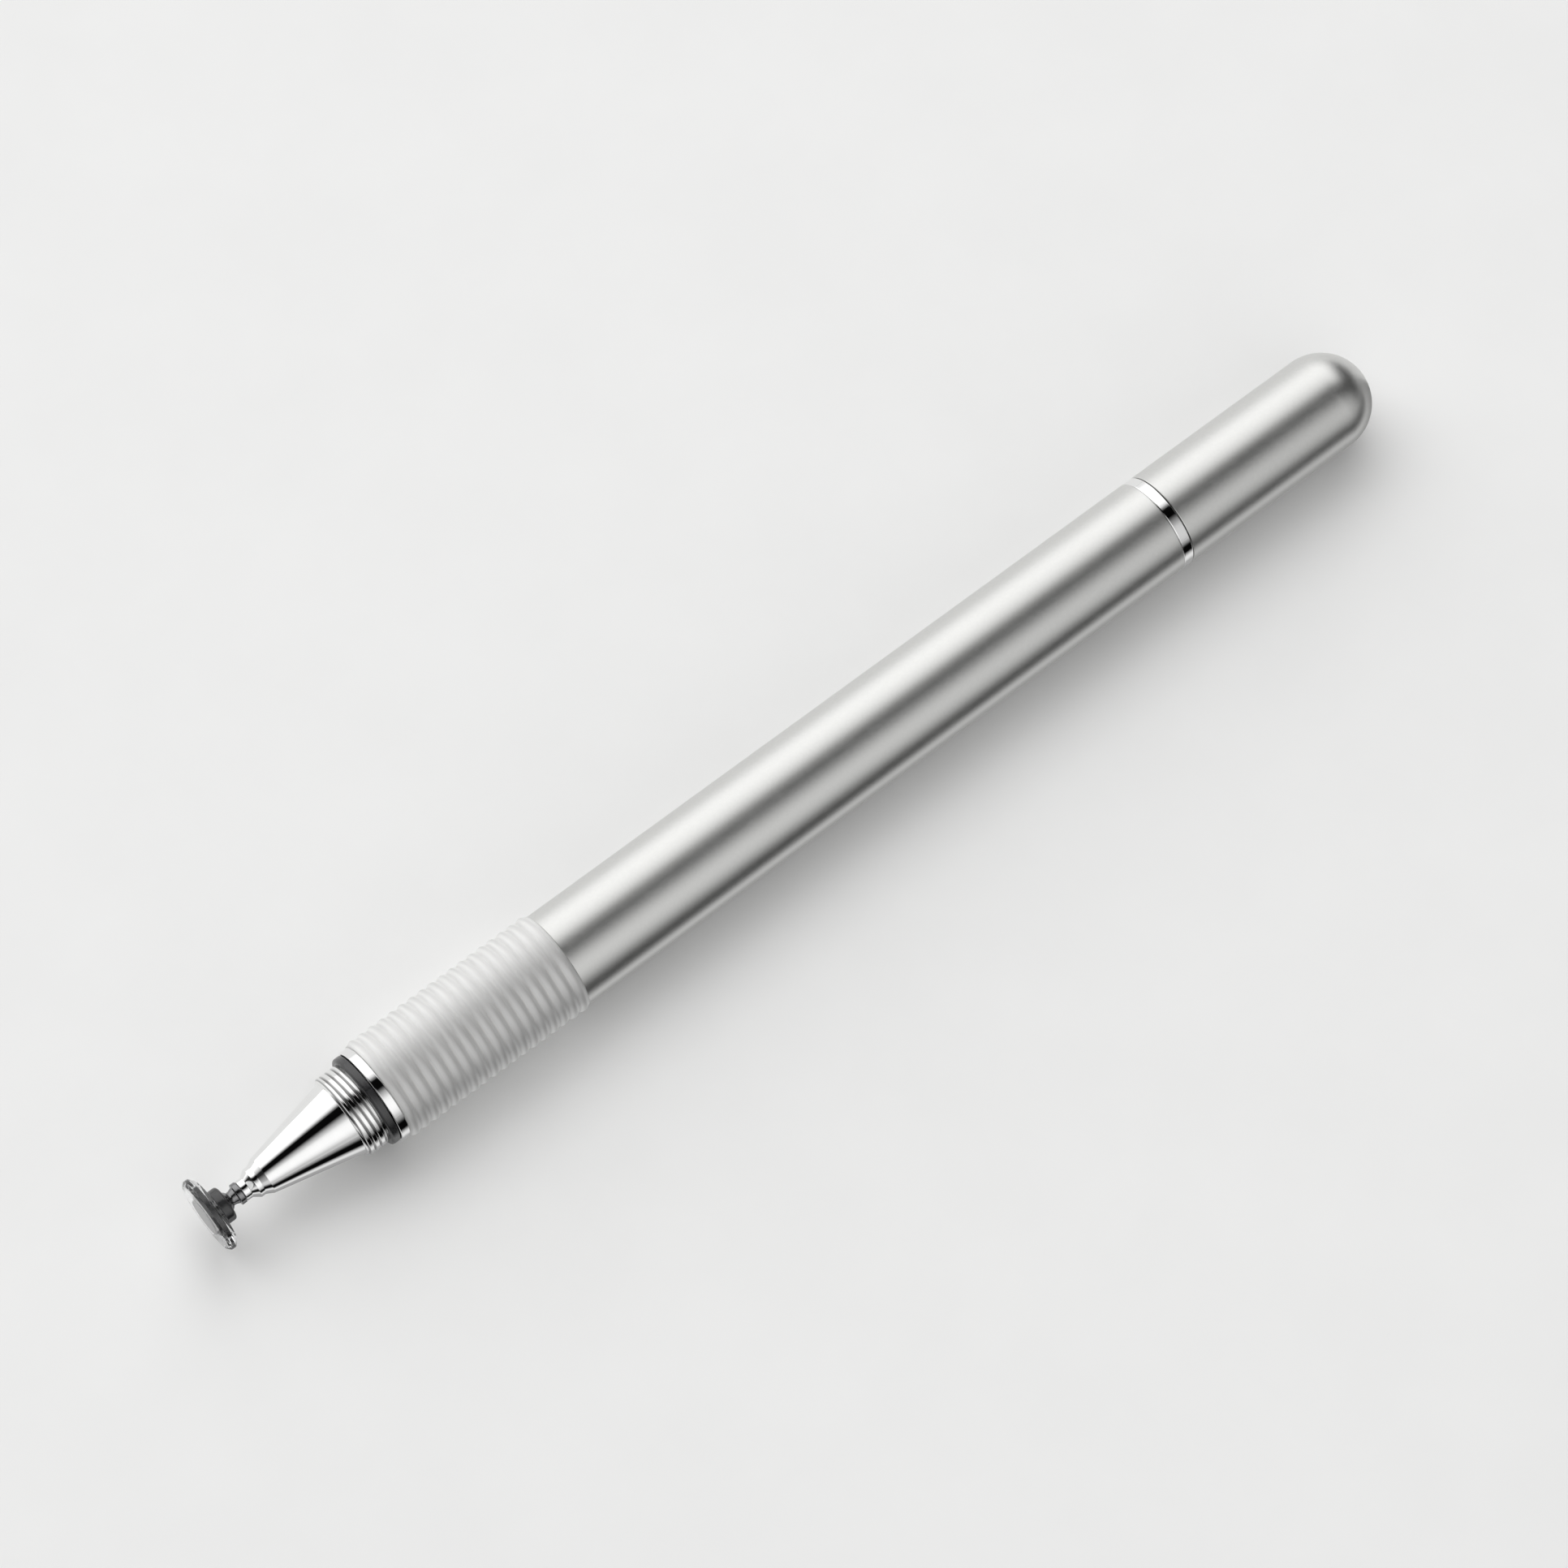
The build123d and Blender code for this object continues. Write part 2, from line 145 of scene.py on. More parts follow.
def share(value, about):
    """A plain number from nought to one."""
    return FloatProperty(description=about, default=value, min=0, max=1, subtype="FACTOR")


def degrees(value, about):
    """An angle property, written in degrees."""
    return FloatProperty(description=about, default=math.radians(value), subtype="ANGLE")


class PenShape(bpy.types.PropertyGroup):
    """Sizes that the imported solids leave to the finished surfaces."""

    segments: count(192, 24, "Faces round the wide pieces")
    fine_segments: count(112, 24, "Faces round the slim pieces")
    edge_round: length(0.07, "Rounding of turned metal edges")
    ring_round: length(0.1, "Rounding of the polished rings' edges")
    gasket_front_round: length(0.3, "Rounding of the gasket's front edge")
    gasket_back_round: length(0.1, "Rounding of the gasket's back edge")
    gasket_gap: length(0.06, "Open line between the gasket and the front ring")
    rib_count: count(18, 1, "Ribs along the grip")
    rib_depth: length(0.2, "Height of a rib above its valley")
    rib_rows: count(18, 4, "Rows of faces along one rib")
    rib_fullness: share(0.8, "Power that widens a rib's crest")
    thread_pitch: length(0.58, "Advance of the cap's thread in one turn")
    thread_depth: length(0.12, "Height of the thread above its root")
    thread_groove: share(0.55, "Width of the thread's groove in pitches")
    thread_length: length(2.08, "Length of each threaded band")
    gasket_groove_width: length(0.19, "Groove before the gasket")
    gasket_groove_radius: length(3.6, "Bottom of the groove before the gasket")
    cap_thread_depth: length(0.07, "Height of the thread in the cap")
    cone_shoulder: length(0.3, "Step from a cone up to the thread's root")
    thread_chamfer: length(0.16, "Length of the front thread's chamfer")
    thread_chamfer_rise: length(0.13, "Height of the front thread's chamfer")
    disc_face_radius: length(3.25, "Flat contact face of the touch disc")
    disc_front_bevel: length(0.27, "Bevel at the front of the disc's rim")
    disc_rim_land: length(0.41, "Plain rim of the disc")
    disc_rear_bevel: length(0.41, "Bevel at the back of the disc's rim")
    disc_shelf_radius: length(3.05, "Radius where the disc's back begins")
    disc_back_rise: length(0.2, "Rise of the disc's back to its hub")
    plate_fold: length(0.25, "Rounding of the plate's back at the hub")
    plate_fillet: length(0.1, "Corner between plate and hub")
    hub_radius: length(1.65, "Outside of the ball socket")
    hub_round: length(0.3, "Rounding at the rear of the ball socket")
    seat_radius: length(1.14, "Hollow ball seat in the hub")
    pad_depth: length(0.22, "Thickness of the contact pad")
    pad_round: length(0.06, "Rounding of the contact pad's edge")
    stud_radius: length(0.5, "Stud behind the contact pad")
    ball_radius: length(1.1, "Ball at the end of the stem")
    neck_radius: length(0.65, "Neck of the stem at the ball")
    neck_root_radius: length(0.8, "Neck of the stem at the collar")
    neck_length: length(0.98, "Neck of the stem outside the socket")
    neck_round: length(0.1, "Rounding between the neck and the collar")
    collar_radius: length(1.02, "Collar of the stem")
    collar_length: length(0.5, "Length of the stem's collar")
    shank_radius: length(0.7, "Shank of the stem inside the nose")
    clip_groove: length(0.2, "Depth of the groove for the clip")
    tip_radius: length(0.98, "Front end of the polished nose")
    tip_length: length(0.57, "Plain front end of the nose")
    tip_flare: length(0.62, "Taper from the front end to the waist")
    waist_radius: length(1.42, "Second step of the nose")
    waist_length: length(0.42, "Plain second step of the nose")
    shoulder_flare: length(0.67, "Taper from the waist to the long cone")
    cone_radius: length(1.78, "Small end of the long cone")
    guide_radius: length(0.74, "Hole that guides the stem")
    guide_length: length(4.2, "Length of the guiding hole")
    cavity_radius: length(1.37, "Room behind the guiding hole")
    screw_shank_radius: length(3.21, "Shanks that screw into the bushes")
    writing_collar: length(0.7, "Plain collar behind the writing cone")
    writing_cone: length(7.4, "Length of the writing cone")
    writing_lip: length(1.5, "Radius of the writing cone's small end")
    refill_body_radius: length(0.95, "Refill tip where it leaves the cone")
    refill_spigot_radius: length(1.28, "Refill tip inside its tube")
    refill_flange: length(0.8, "Flange that seats the refill")
    refill_point: length(2.3, "Tapered point of the refill tip")
    refill_mouth: length(0.45, "Radius at the end of the refill tip")
    refill_mouth_round: length(0.02, "Rounding inside the refill's mouth")
    barrel_wall: length(0.5, "Wall of the barrel")
    cap_lead: length(0.6, "Plain bore before the cap's thread")
    drill_depth: length(2.4, "Drilled cone in the cap")
    cap_wall: length(0.5, "Wall of the cap")


class PenFinish(bpy.types.PropertyGroup):
    """Colours and surface of each finish."""

    satin: tint((0.70, 0.70, 0.685), "Barrel and cap")
    satin_roughness: share(0.35, "Barrel and cap")
    grip: tint((0.97, 0.97, 0.96), "Ribbed grip")
    grip_roughness: share(0.64, "Ribbed grip")
    rib_shade: share(0.15, "How much darker the ribs' crests and valleys are")
    chrome: tint((0.90, 0.90, 0.895), "Nose, rings and writing nose")
    chrome_roughness: share(0.045, "Nose, rings and writing nose")
    root_shade: share(0.7, "How much darker the threads' roots are")
    steel: tint((0.26, 0.26, 0.264), "Ball stem")
    point: tint((0.66, 0.65, 0.62), "Refill tip")
    carbide: tint((0.30, 0.30, 0.31), "Writing ball")
    brass: tint((0.72, 0.55, 0.26), "Bushes inside the barrel")
    rubber: tint((0.016, 0.016, 0.017), "Gasket")
    smoked: tint((0.03, 0.03, 0.031), "Hub of the touch disc")
    plate: tint((0.95, 0.955, 0.96), "See-through plate of the touch disc")
    pad: tint((0.46, 0.46, 0.46), "Conductive pad on the disc's face")
    tube: tint((0.80, 0.83, 0.85), "Ink tube")


class PenStage(bpy.types.PropertyGroup):
    """Floor, light and camera."""

    floor: tint((0.82, 0.82, 0.815), "Plain floor")
    wall: tint((0.84, 0.84, 0.84), "Studio at the height of the horizon")
    ceiling: tint((0.02, 0.02, 0.02), "Studio overhead, between the lamps")
    key_light: brightness(1.2, "Light on the floor")
    far_light: brightness(1.47, "Studio's far side")
    near_light: brightness(1.1, "Studio's near side by the disc")
    near_rear: brightness(0.6, "Studio's near side by the cap")
    slant: degrees(17, "Turn of the lamps from end to end")
    slant_start: degrees(-8.25, "Turn of the lamps at the disc's end")
    azimuth: degrees(38.5066, "Camera's turn about the upright axis")
    elevation: degrees(66.3593, "Camera's angle above the floor")
    distance: length(479.75, "Camera to its target")
    target: FloatVectorProperty(
        description="Point in the middle of the picture", size=3, unit="LENGTH", precision=5,
        default=(-1.253 * MM, 0.843 * MM, AXIS_Z),
    )
    lens: FloatProperty(description="Millimetres, on a 36 mm sensor", default=125.79)


def span(node):
    """First station, last station and outer radius of a turned node."""
    low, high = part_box(node)
    return low.x, high.x, (high.z - low.z) / 2


def rounded(*corners, closed=False, steps=6):
    """Profile through corners given as (station, radius, rounding).

    Each corner is replaced by a circular arc that touches both of its runs: the arc's centre lies on the
    corner's bisector, rounding / sin(half the corner's angle) away, and its points turn evenly from one
    touching point to the other. A support point on each run keeps the shading of the flat up to the arc.
    """
    rows = np.asarray(corners, float)
    point, radius = rows[:, :2], rows[:, 2]
    before, after = np.roll(point, 1, 0) - point, np.roll(point, -1, 0) - point
    run_in, run_out = np.linalg.norm(before, axis=1), np.linalg.norm(after, axis=1)
    before, after = before / run_in[:, None], after / run_out[:, None]
    half = np.arccos(np.clip((before * after).sum(1), -1, 1)) / 2
    room = ROOM * np.minimum(run_in, run_out)
    reach = np.minimum(radius / np.tan(half), room)
    radius = reach * np.tan(half)
    bisector = before + after
    bisector /= np.maximum(np.linalg.norm(bisector, axis=1), SAME_POINT)[:, None]
    centre = point + bisector * (radius / np.sin(half))[:, None]
    sweep = (math.pi - 2 * half)[:, None]
    turn_share = np.linspace(0, 1, steps + 1)[None, :]
    whole = np.sin(np.maximum(sweep, SAME_POINT))
    lead, trail = np.sin((1 - turn_share) * sweep) / whole, np.sin(turn_share * sweep) / whole
    first = point + before * reach[:, None] - centre
    last = point + after * reach[:, None] - centre
    arcs = centre[:, None] + lead[:, :, None] * first[:, None] + trail[:, :, None] * last[:, None]
    tight = radius < SAME_POINT
    arcs[tight] = point[tight][:, None]
    step = np.minimum(reach + SUPPORT, room)[:, None]
    path = np.concatenate([(point + before * step)[:, None], arcs, (point + after * step)[:, None]], axis=1)
    if not closed:
        path[0] = point[0]
        path[-1] = point[-1]
    path = path.reshape(-1, 2)
    return path[np.linalg.norm(path - np.roll(path, 1, 0), axis=1) > SAME_POINT]


def tube(start, end, bore, radius, front_round, back_round, steps=6):
    """Closed profile of a plain tube with its outer edges rounded."""
    return rounded(
        (start, bore, 0), (start, radius, front_round),
        (end, radius, back_round), (end, bore, 0),
        closed=True, steps=steps,
    )


def arc(centre, radius, start, end, steps):
    """Circle points about (centre, 0), from one angle to the other, as station and radius."""
    angle = np.linspace(start, end, steps + 1)
    return np.stack([centre + radius * np.cos(angle), np.abs(radius * np.sin(angle))], 1)


def turned(name, profile, segments, wave=None):
    """Surface of revolution about the pen's axis.

    Vertex (i, j) is profile point i turned by j / segments of a full turn, with its radius raised by
    wave(station, angle) where that is given. Profile ends on the axis become single poles, and a profile
    that never meets the axis is closed on itself. The profile's signed area tells which way is outward.
    """
    x, r = profile.T
    if np.sum(x * np.roll(r, -1) - np.roll(x, -1) * r) > 0:
        profile = profile[::-1]
    on_axis = profile[:, 1] < SAME_POINT
    rings = profile[~on_axis]
    angle = np.arange(segments) * FULL_TURN / segments
    station, turn = np.meshgrid(rings[:, 0], angle, indexing="ij")
    radius = np.repeat(rings[:, 1:], segments, axis=1)
    if wave is not None:
        radius = radius + wave(station, turn)
    grid = np.stack([station, radius * np.sin(turn), AXIS_Z + radius * np.cos(turn)], -1)
    vertices = grid.reshape(-1, 3)
    index = np.arange(len(rings) * segments).reshape(-1, segments)
    if not on_axis.any():
        index = np.concatenate([index, index[:1]])
    beside = np.roll(index, -1, axis=1)
    quads = np.stack([index[:-1], index[1:], beside[1:], beside[:-1]], -1).reshape(-1, 4)
    faces = quads.tolist()
    for flag, ring, flip in ((on_axis[0], index[0], False), (on_axis[-1], index[-1], True)):
        if not flag:
            continue
        pole = profile[-1 if flip else 0, 0]
        vertices = np.concatenate([vertices, [[pole, 0, AXIS_Z]]])
        tip = np.full(segments, len(vertices) - 1)
        pair = (np.roll(ring, -1), ring) if flip else (ring, np.roll(ring, -1))
        faces += np.stack([tip, *pair], -1).tolist()
    mesh = bpy.data.meshes.new(name)
    mesh.from_pydata(vertices.tolist(), [], faces)
    if mesh.validate():
        raise RuntimeError(f"{name} has faces that don't close")
    mesh.shade_smooth()
    piece = bpy.data.objects.new(name, mesh)
    bpy.context.scene.collection.objects.link(piece)
    return piece


def screw(shape, start, end, depth, fade_in, fade_out):
    """Ridge of a right-hand thread: a flat-topped wave of (station / pitch + turns) between two stations.

    The groove takes its share of the pitch, as one dip of a cosine. The ridge rises from nothing over the
    first fade and sinks again over the last one.
    """

    def height(station, angle):
        phase = (station - end) / shape.thread_pitch + angle / FULL_TURN
        middle = np.abs(2 * (phase - np.floor(phase)) - 1)
        off_groove = np.clip(middle / shape.thread_groove, 0, 1)
        ridge = (1 - np.cos(math.pi * off_groove)) / 2
        rise = np.clip((station - start) / fade_in, 0, 1)
        sink = np.clip((end - station) / fade_out, 0, 1)
        return depth * ridge * rise * sink

    return height


def band(start, end, radius, rows):
    """Evenly spaced profile points along a straight band."""
    station = np.linspace(start, end, rows)
    return np.stack([station, np.full(rows, radius)], 1)


def dress(piece, body, node, finish):
    """Puts the finish on a piece, lets it ride on its body and stand for its solid."""
    piece.data.materials.append(bpy.data.materials[finish])
    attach(piece, body)
    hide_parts(node)


def put(tree, kind, inputs=None, **settings):
    """Adds a node, sets its options, and sets or links each input named."""
    node = tree.nodes.new(kind)
    node.location = (NODE_STEP * len(tree.nodes), 0)
    for key, value in settings.items():
        setattr(node, key, value)
    for key, value in (inputs or {}).items():
        socket = node.inputs[key]
        if isinstance(value, bpy.types.NodeSocket):
            tree.links.new(value, socket)
        else:
            socket.default_value = value
    return node


def calc(tree, operation, *values):
    """Output of a Math node."""
    return put(tree, "ShaderNodeMath", dict(enumerate(values)), operation=operation).outputs[0]


def blend(tree, factor, first, second):
    """Output of a colour mix."""
    mix = put(tree, "ShaderNodeMix", {0: factor, 6: first, 7: second}, data_type="RGBA")
    return mix.outputs[2]


def noise(tree, vector, scale, detail, roughness=0.5):
    """Output of a noise texture."""
    inputs = {"Vector": vector, "Scale": scale, "Detail": detail, "Roughness": roughness}
    return put(tree, "ShaderNodeTexNoise", inputs).outputs["Fac"]


def remap(tree, value, low, high, to_low=0.0, to_high=1.0):
    """Output of a clamped range change."""
    inputs = {"Value": value, "From Min": low, "From Max": high, "To Min": to_low, "To Max": to_high}
    return put(tree, "ShaderNodeMapRange", inputs).outputs["Result"]


def ramp(tree, value, stops):
    """Output of a grey ramp through stops, each a place from nought to one and its brightness."""
    node = put(tree, "ShaderNodeValToRGB", {0: value})
    marks = node.color_ramp.elements
    marks.remove(marks[1])
    for index, (place, level) in enumerate(stops):
        mark = marks.new(place) if index else marks[0]
        mark.position = place
        mark.color = (level, level, level, 1)
    return node.outputs[0]


def group(name, inputs, outputs):
    """An empty shader node group with number sockets, and its input and output nodes."""
    tree = bpy.data.node_groups.new(name, "ShaderNodeTree")
    for way, titles in (("INPUT", inputs), ("OUTPUT", outputs)):
        for title in titles:
            tree.interface.new_socket(title, in_out=way, socket_type="NodeSocketFloat")
    return tree, put(tree, "NodeGroupInput"), put(tree, "NodeGroupOutput")


def from_axis(tree):
    """Station along the pen and the vector out from its axis, from Object coordinates."""
    place = put(tree, "ShaderNodeTexCoord").outputs["Object"]
    parts = put(tree, "ShaderNodeSeparateXYZ", {0: place}).outputs
    height = calc(tree, "SUBTRACT", parts[2], AXIS_Z)
    return parts[0], put(tree, "ShaderNodeCombineXYZ", {1: parts[1], 2: height}).outputs[0]


def place_round(tree):
    """Station along the pen and the unit direction out from its axis."""
    station, out = from_axis(tree)
    return station, put(tree, "ShaderNodeVectorMath", {0: out}, operation="NORMALIZE").outputs[0]


def stretched(tree, station, outward, along, around):
    """Vector for noise that repeats along the pen at one rate and round it at another."""
    ahead = put(tree, "ShaderNodeCombineXYZ", {0: calc(tree, "MULTIPLY", station, along)}).outputs[0]
    spun = put(tree, "ShaderNodeVectorMath", {0: outward, "Scale": around}, operation="SCALE").outputs[0]
    return put(tree, "ShaderNodeVectorMath", {0: ahead, 1: spun}, operation="ADD").outputs[0]


def make_groups():
    """Turning marks, handling marks and fine grain, shared by the finishes."""
    tree, given, result = group("turned_marks", ("Pitch", "Wander"), ("Height", "Streak"))
    station, outward = place_round(tree)
    rate = calc(tree, "DIVIDE", 1.0, given.outputs["Pitch"])
    lines = stretched(tree, station, outward, rate, given.outputs["Wander"])
    slow = calc(tree, "MULTIPLY", rate, STREAK_RATE)
    wide = stretched(tree, station, outward, slow, given.outputs["Wander"])
    tree.links.new(noise(tree, lines, 1.0, 2.0, 0.6), result.inputs["Height"])
    tree.links.new(remap(tree, noise(tree, wide, 1.0, 3.0, 0.6), *STREAKS), result.inputs["Streak"])

    tree, given, result = group("handling_marks", ("Amount",), ("Smudge", "Scratch"))
    place = put(tree, "ShaderNodeTexCoord").outputs["Object"]
    clouds = remap(tree, noise(tree, place, SMUDGE_RATE, 3.0, 0.6), *SMUDGES)
    station, outward = place_round(tree)
    hairs = stretched(tree, station, outward, *SCRATCH_RATES)
    fine = remap(tree, noise(tree, hairs, 1.0, 0.0), *SCRATCHES)
    tree.links.new(calc(tree, "MULTIPLY", clouds, given.outputs["Amount"]), result.inputs["Smudge"])
    tree.links.new(calc(tree, "MULTIPLY", fine, given.outputs["Amount"]), result.inputs["Scratch"])

    tree, given, result = group("fine_grain", ("Size",), ("Height", "Fleck"))
    place = put(tree, "ShaderNodeTexCoord").outputs["Object"]
    rate = calc(tree, "DIVIDE", 1.0, given.outputs["Size"])
    tree.links.new(noise(tree, place, rate, 2.0), result.inputs["Height"])
    slow = noise(tree, place, calc(tree, "MULTIPLY", rate, FLECK_RATE), 3.0, 0.6)
    tree.links.new(remap(tree, slow, *FLECKS), result.inputs["Fleck"])


def use_group(tree, name, inputs):
    """Outputs of a shared group placed in a material with its own values."""
    node = put(tree, "ShaderNodeGroup", node_tree=bpy.data.node_groups[name])
    for key, value in inputs.items():
        node.inputs[key].default_value = value
    return node.outputs


def blank(name):
    """A material with an unlinked Principled shader."""
    material = bpy.data.materials.new(name)
    if material.name != name:
        raise RuntimeError(f"a finish named {name} is there already")
    material.use_nodes = True
    tree = material.node_tree
    return material, tree, tree.nodes["Principled BSDF"]


def shaded(colour, keep):
    """A colour with each channel scaled."""
    return (*(channel * keep for channel in colour[:3]), 1)


def distance_out(tree):
    """Distance of a point from the pen's axis."""
    _, out = from_axis(tree)
    return put(tree, "ShaderNodeVectorMath", {0: out}, operation="LENGTH").outputs["Value"]


def rib_painted_shade(tree, crest, depth):
    """Mask of painted shade on the crests and valleys of ribs: 1 - 4 h (1 - h), h being the height as a share
    of the depth.
    """
    height = remap(tree, distance_out(tree), crest - depth, crest)
    flank = calc(tree, "MULTIPLY", calc(tree, "MULTIPLY", height, 4.0), calc(tree, "SUBTRACT", 1.0, height))
    return calc(tree, "SUBTRACT", 1.0, flank)


def root_painted_shade(tree, crest, depth):
    """Mask of painted shade at the bottom of a thread: 1 at its root, falling to 0 at its crest and just
    below its root.
    """
    radius, root = distance_out(tree), crest - depth
    below = remap(tree, radius, root - ROOT_MARGIN * depth, root)
    return calc(tree, "MULTIPLY", below, remap(tree, radius, root, crest, 1.0, 0.0))


def surface(name, marks, patch, dulling, colour, roughness, spread, relief, smudge, dark):
    """Material whose patches tint it and change its gloss, with handling marks and a fine relief.

    The marks are a shared group's name and inputs, and the patch is one of its outputs.
    """
    material, tree, shader = blank(name)
    marks = use_group(tree, *marks)
    touch = use_group(tree, "handling_marks", {"Amount": smudge})
    base = blend(tree, marks[patch], shaded(colour, dark), tuple(colour))
    gloss = calc(tree, "MULTIPLY_ADD", marks[patch], spread, roughness - spread / 2)
    for mark, amount in dulling.items():
        gloss = calc(tree, "MULTIPLY_ADD", touch[mark], amount, gloss)
    bump = put(tree, "ShaderNodeBump", {"Strength": 1.0, "Distance": relief, "Height": marks["Height"]})
    tree.links.new(base, shader.inputs["Base Color"])
    tree.links.new(gloss, shader.inputs["Roughness"])
    tree.links.new(bump.outputs[0], shader.inputs["Normal"])
    return material, shader.inputs


def metal(name, colour, roughness, spread, pitch, wander, relief, smudge, dark=0.86):
    """Turned metal: streaks, smudges, scratches, and fine lines in relief."""
    marks = "turned_marks", {"Pitch": pitch, "Wander": wander}
    look = colour, roughness, spread, relief, smudge, dark
    material, inputs = surface(name, marks, "Streak", METAL_DULLING, *look)
    inputs["Metallic"].default_value = 1.0
    return material


def painted_shade(material, mask, crest, depth, shade):
    """Paints shade into a metal's colour where a mask of its height says: painted shade on the ribs' crests
    and valleys and in the thread roots.
    """
    tree = material.node_tree
    tinted = tree.nodes["Principled BSDF"].inputs["Base Color"]
    keep = calc(tree, "MULTIPLY_ADD", mask(tree, crest, depth), -shade, 1.0)
    plain = tinted.links[0].from_socket
    scaled = put(tree, "ShaderNodeVectorMath", {0: plain, "Scale": keep}, operation="SCALE")
    tree.links.new(scaled.outputs[0], tinted)


def grained(
    name, colour, roughness, spread, size, relief, smudge, dark=0.7, clear=0.0, index=1.49, metallic=0.0
):
    """Moulded plastic, rubber or blasted metal: flecks, smudges, and a grain in relief."""
    look = colour, roughness, spread, relief, smudge, dark
    material, inputs = surface(name, ("fine_grain", {"Size": size}), "Fleck", GRAIN_DULLING, *look)
    inputs["Metallic"].default_value = metallic
    inputs["Transmission Weight"].default_value = clear
    inputs["IOR"].default_value = index
    return material


def make_finishes(scene):
    """Makes every finish of the pen, once."""
    if "satin_metal" in bpy.data.materials:
        return
    make_groups()
    shape, look = scene.pen_shape, scene.pen_finish
    # Numbers: roughness, its spread, pitch and wander or grain, relief, smudges, tint kept in dark patches.
    grained(
        "satin_metal", look.satin, look.satin_roughness, 0.03, 0.11 * MM, 0.5 * MICRON, 0.3, 0.96,
        metallic=1.0,
    )
    grip = metal("grip_metal", look.grip, look.grip_roughness, 0.06, 0.08 * MM, 1.6, 6 * MICRON, 0.3, 0.92)
    # Painted shade: the ribs' crests and valleys are darkened in the colour.
    painted_shade(grip, rib_painted_shade, span("grip_sleeve")[2], shape.rib_depth, look.rib_shade)
    chrome = metal(
        "chrome", look.chrome, look.chrome_roughness, 0.02, 0.3 * MM, 1.0, 0.02 * MICRON, 0.25, 0.97
    )
    # Painted shade: the chrome threads' roots are darkened in the colour.
    painted_shade(chrome, root_painted_shade, span("nose_cone")[2], shape.thread_depth, look.root_shade)
    metal("swivel_steel", look.steel, 0.16, 0.06, 0.12 * MM, 1.0, 0.6 * MICRON, 0.3)
    metal("tip_steel", look.point, 0.2, 0.08, 0.1 * MM, 1.0, 0.8 * MICRON, 0.2)
    metal("ball_carbide", look.carbide, 0.12, 0.04, 0.1 * MM, 1.0, 0.1 * MICRON, 0.2)
    metal("turned_brass", look.brass, 0.3, 0.1, 0.2 * MM, 1.6, 3 * MICRON, 0.4, 0.8)
    grained("gasket_rubber", look.rubber, 0.26, 0.08, 0.09 * MM, 2 * MICRON, 0.8, index=1.7)
    grained("smoked_gloss", look.smoked, 0.05, 0.03, 0.5 * MM, 0.2 * MICRON, 0.6, 0.8, index=1.6)
    grained("clear_plate", look.plate, 0.02, 0.01, 0.5 * MM, 0.05 * MICRON, 0.3, 0.97, clear=1.0, index=1.585)
    grained("face_pad", look.pad, 0.42, 0.12, 0.12 * MM, 2 * MICRON, 0.4, 0.9)
    grained("ink_tube", look.tube, 0.25, 0.06, 0.4 * MM, 0.4 * MICRON, 0.3, 0.9, clear=0.8)


def sizes(context):
    """Sizes of the pen, with its finishes made."""
    make_finishes(context.scene)
    return context.scene.pen_shape


class PEN_OT_touch_disc(bpy.types.Operator):
    """See-through plate of the disc, its smoked hub with the ball socket, and the contact pad on its face"""

    bl_idname = "pen.touch_disc"
    bl_label = "Touch disc"

    def execute(self, context):
        shape = sizes(context)
        face, hub_end, rim = span("stylus_disc")
        pad_face, stud_end, pad_radius = span("contact_pad")
        ball = span("ball_stem")[0] + shape.ball_radius
        rim_front = face + shape.disc_front_bevel
        rim_back = rim_front + shape.disc_rim_land
        shelf = rim_back + shape.disc_rear_bevel
        back = shelf + shape.disc_back_rise
        recess = pad_face + shape.pad_depth
        hole = shape.stud_radius + CLEARANCE
        mouth = math.sqrt(shape.seat_radius ** 2 - (hub_end - ball) ** 2)
        seat_start = math.atan2(mouth, hub_end - ball)
        seat_end = math.pi - math.asin(hole / shape.seat_radius)
        core = shape.hub_radius - CLEARANCE
        outside = rounded(
            (recess, core, 0), (recess, pad_radius + CLEARANCE, 0),
            (face, pad_radius + CLEARANCE, CRISP), (face, shape.disc_face_radius, SOFT),
            (rim_front, rim, SOFT), (rim_back, rim, SOFT),
            (shelf, shape.disc_shelf_radius, SOFT),
            (back, shape.hub_radius + shape.plate_fillet, shape.plate_fold),
            (back + shape.plate_fillet, core, 0),
            closed=True,
        )
        plate = turned("touch_disc", outside, shape.segments)
        dress(plate, "disc", "stylus_disc", "clear_plate")
        sleeve = rounded(
            (recess, hole, 0), (recess, shape.hub_radius, 0),
            (hub_end, shape.hub_radius, shape.hub_round), (hub_end, mouth, 0),
        )
        seat = arc(ball, shape.seat_radius, seat_start, seat_end, SMALL_STEPS)
        hub = turned("disc_hub", np.concatenate([sleeve, seat[1:]]), shape.fine_segments)
        dress(hub, "disc", "stylus_disc", "smoked_gloss")
        button = rounded(
            (pad_face, 0, 0), (pad_face, pad_radius, shape.pad_round),
            (recess, pad_radius, 0), (recess, shape.stud_radius, 0),
            (stud_end, shape.stud_radius, FINE), (stud_end, 0, 0),
        )
        pad = turned("face_pad", button, shape.fine_segments)
        dress(pad, "disc", "contact_pad", "face_pad")
        return {"FINISHED"}


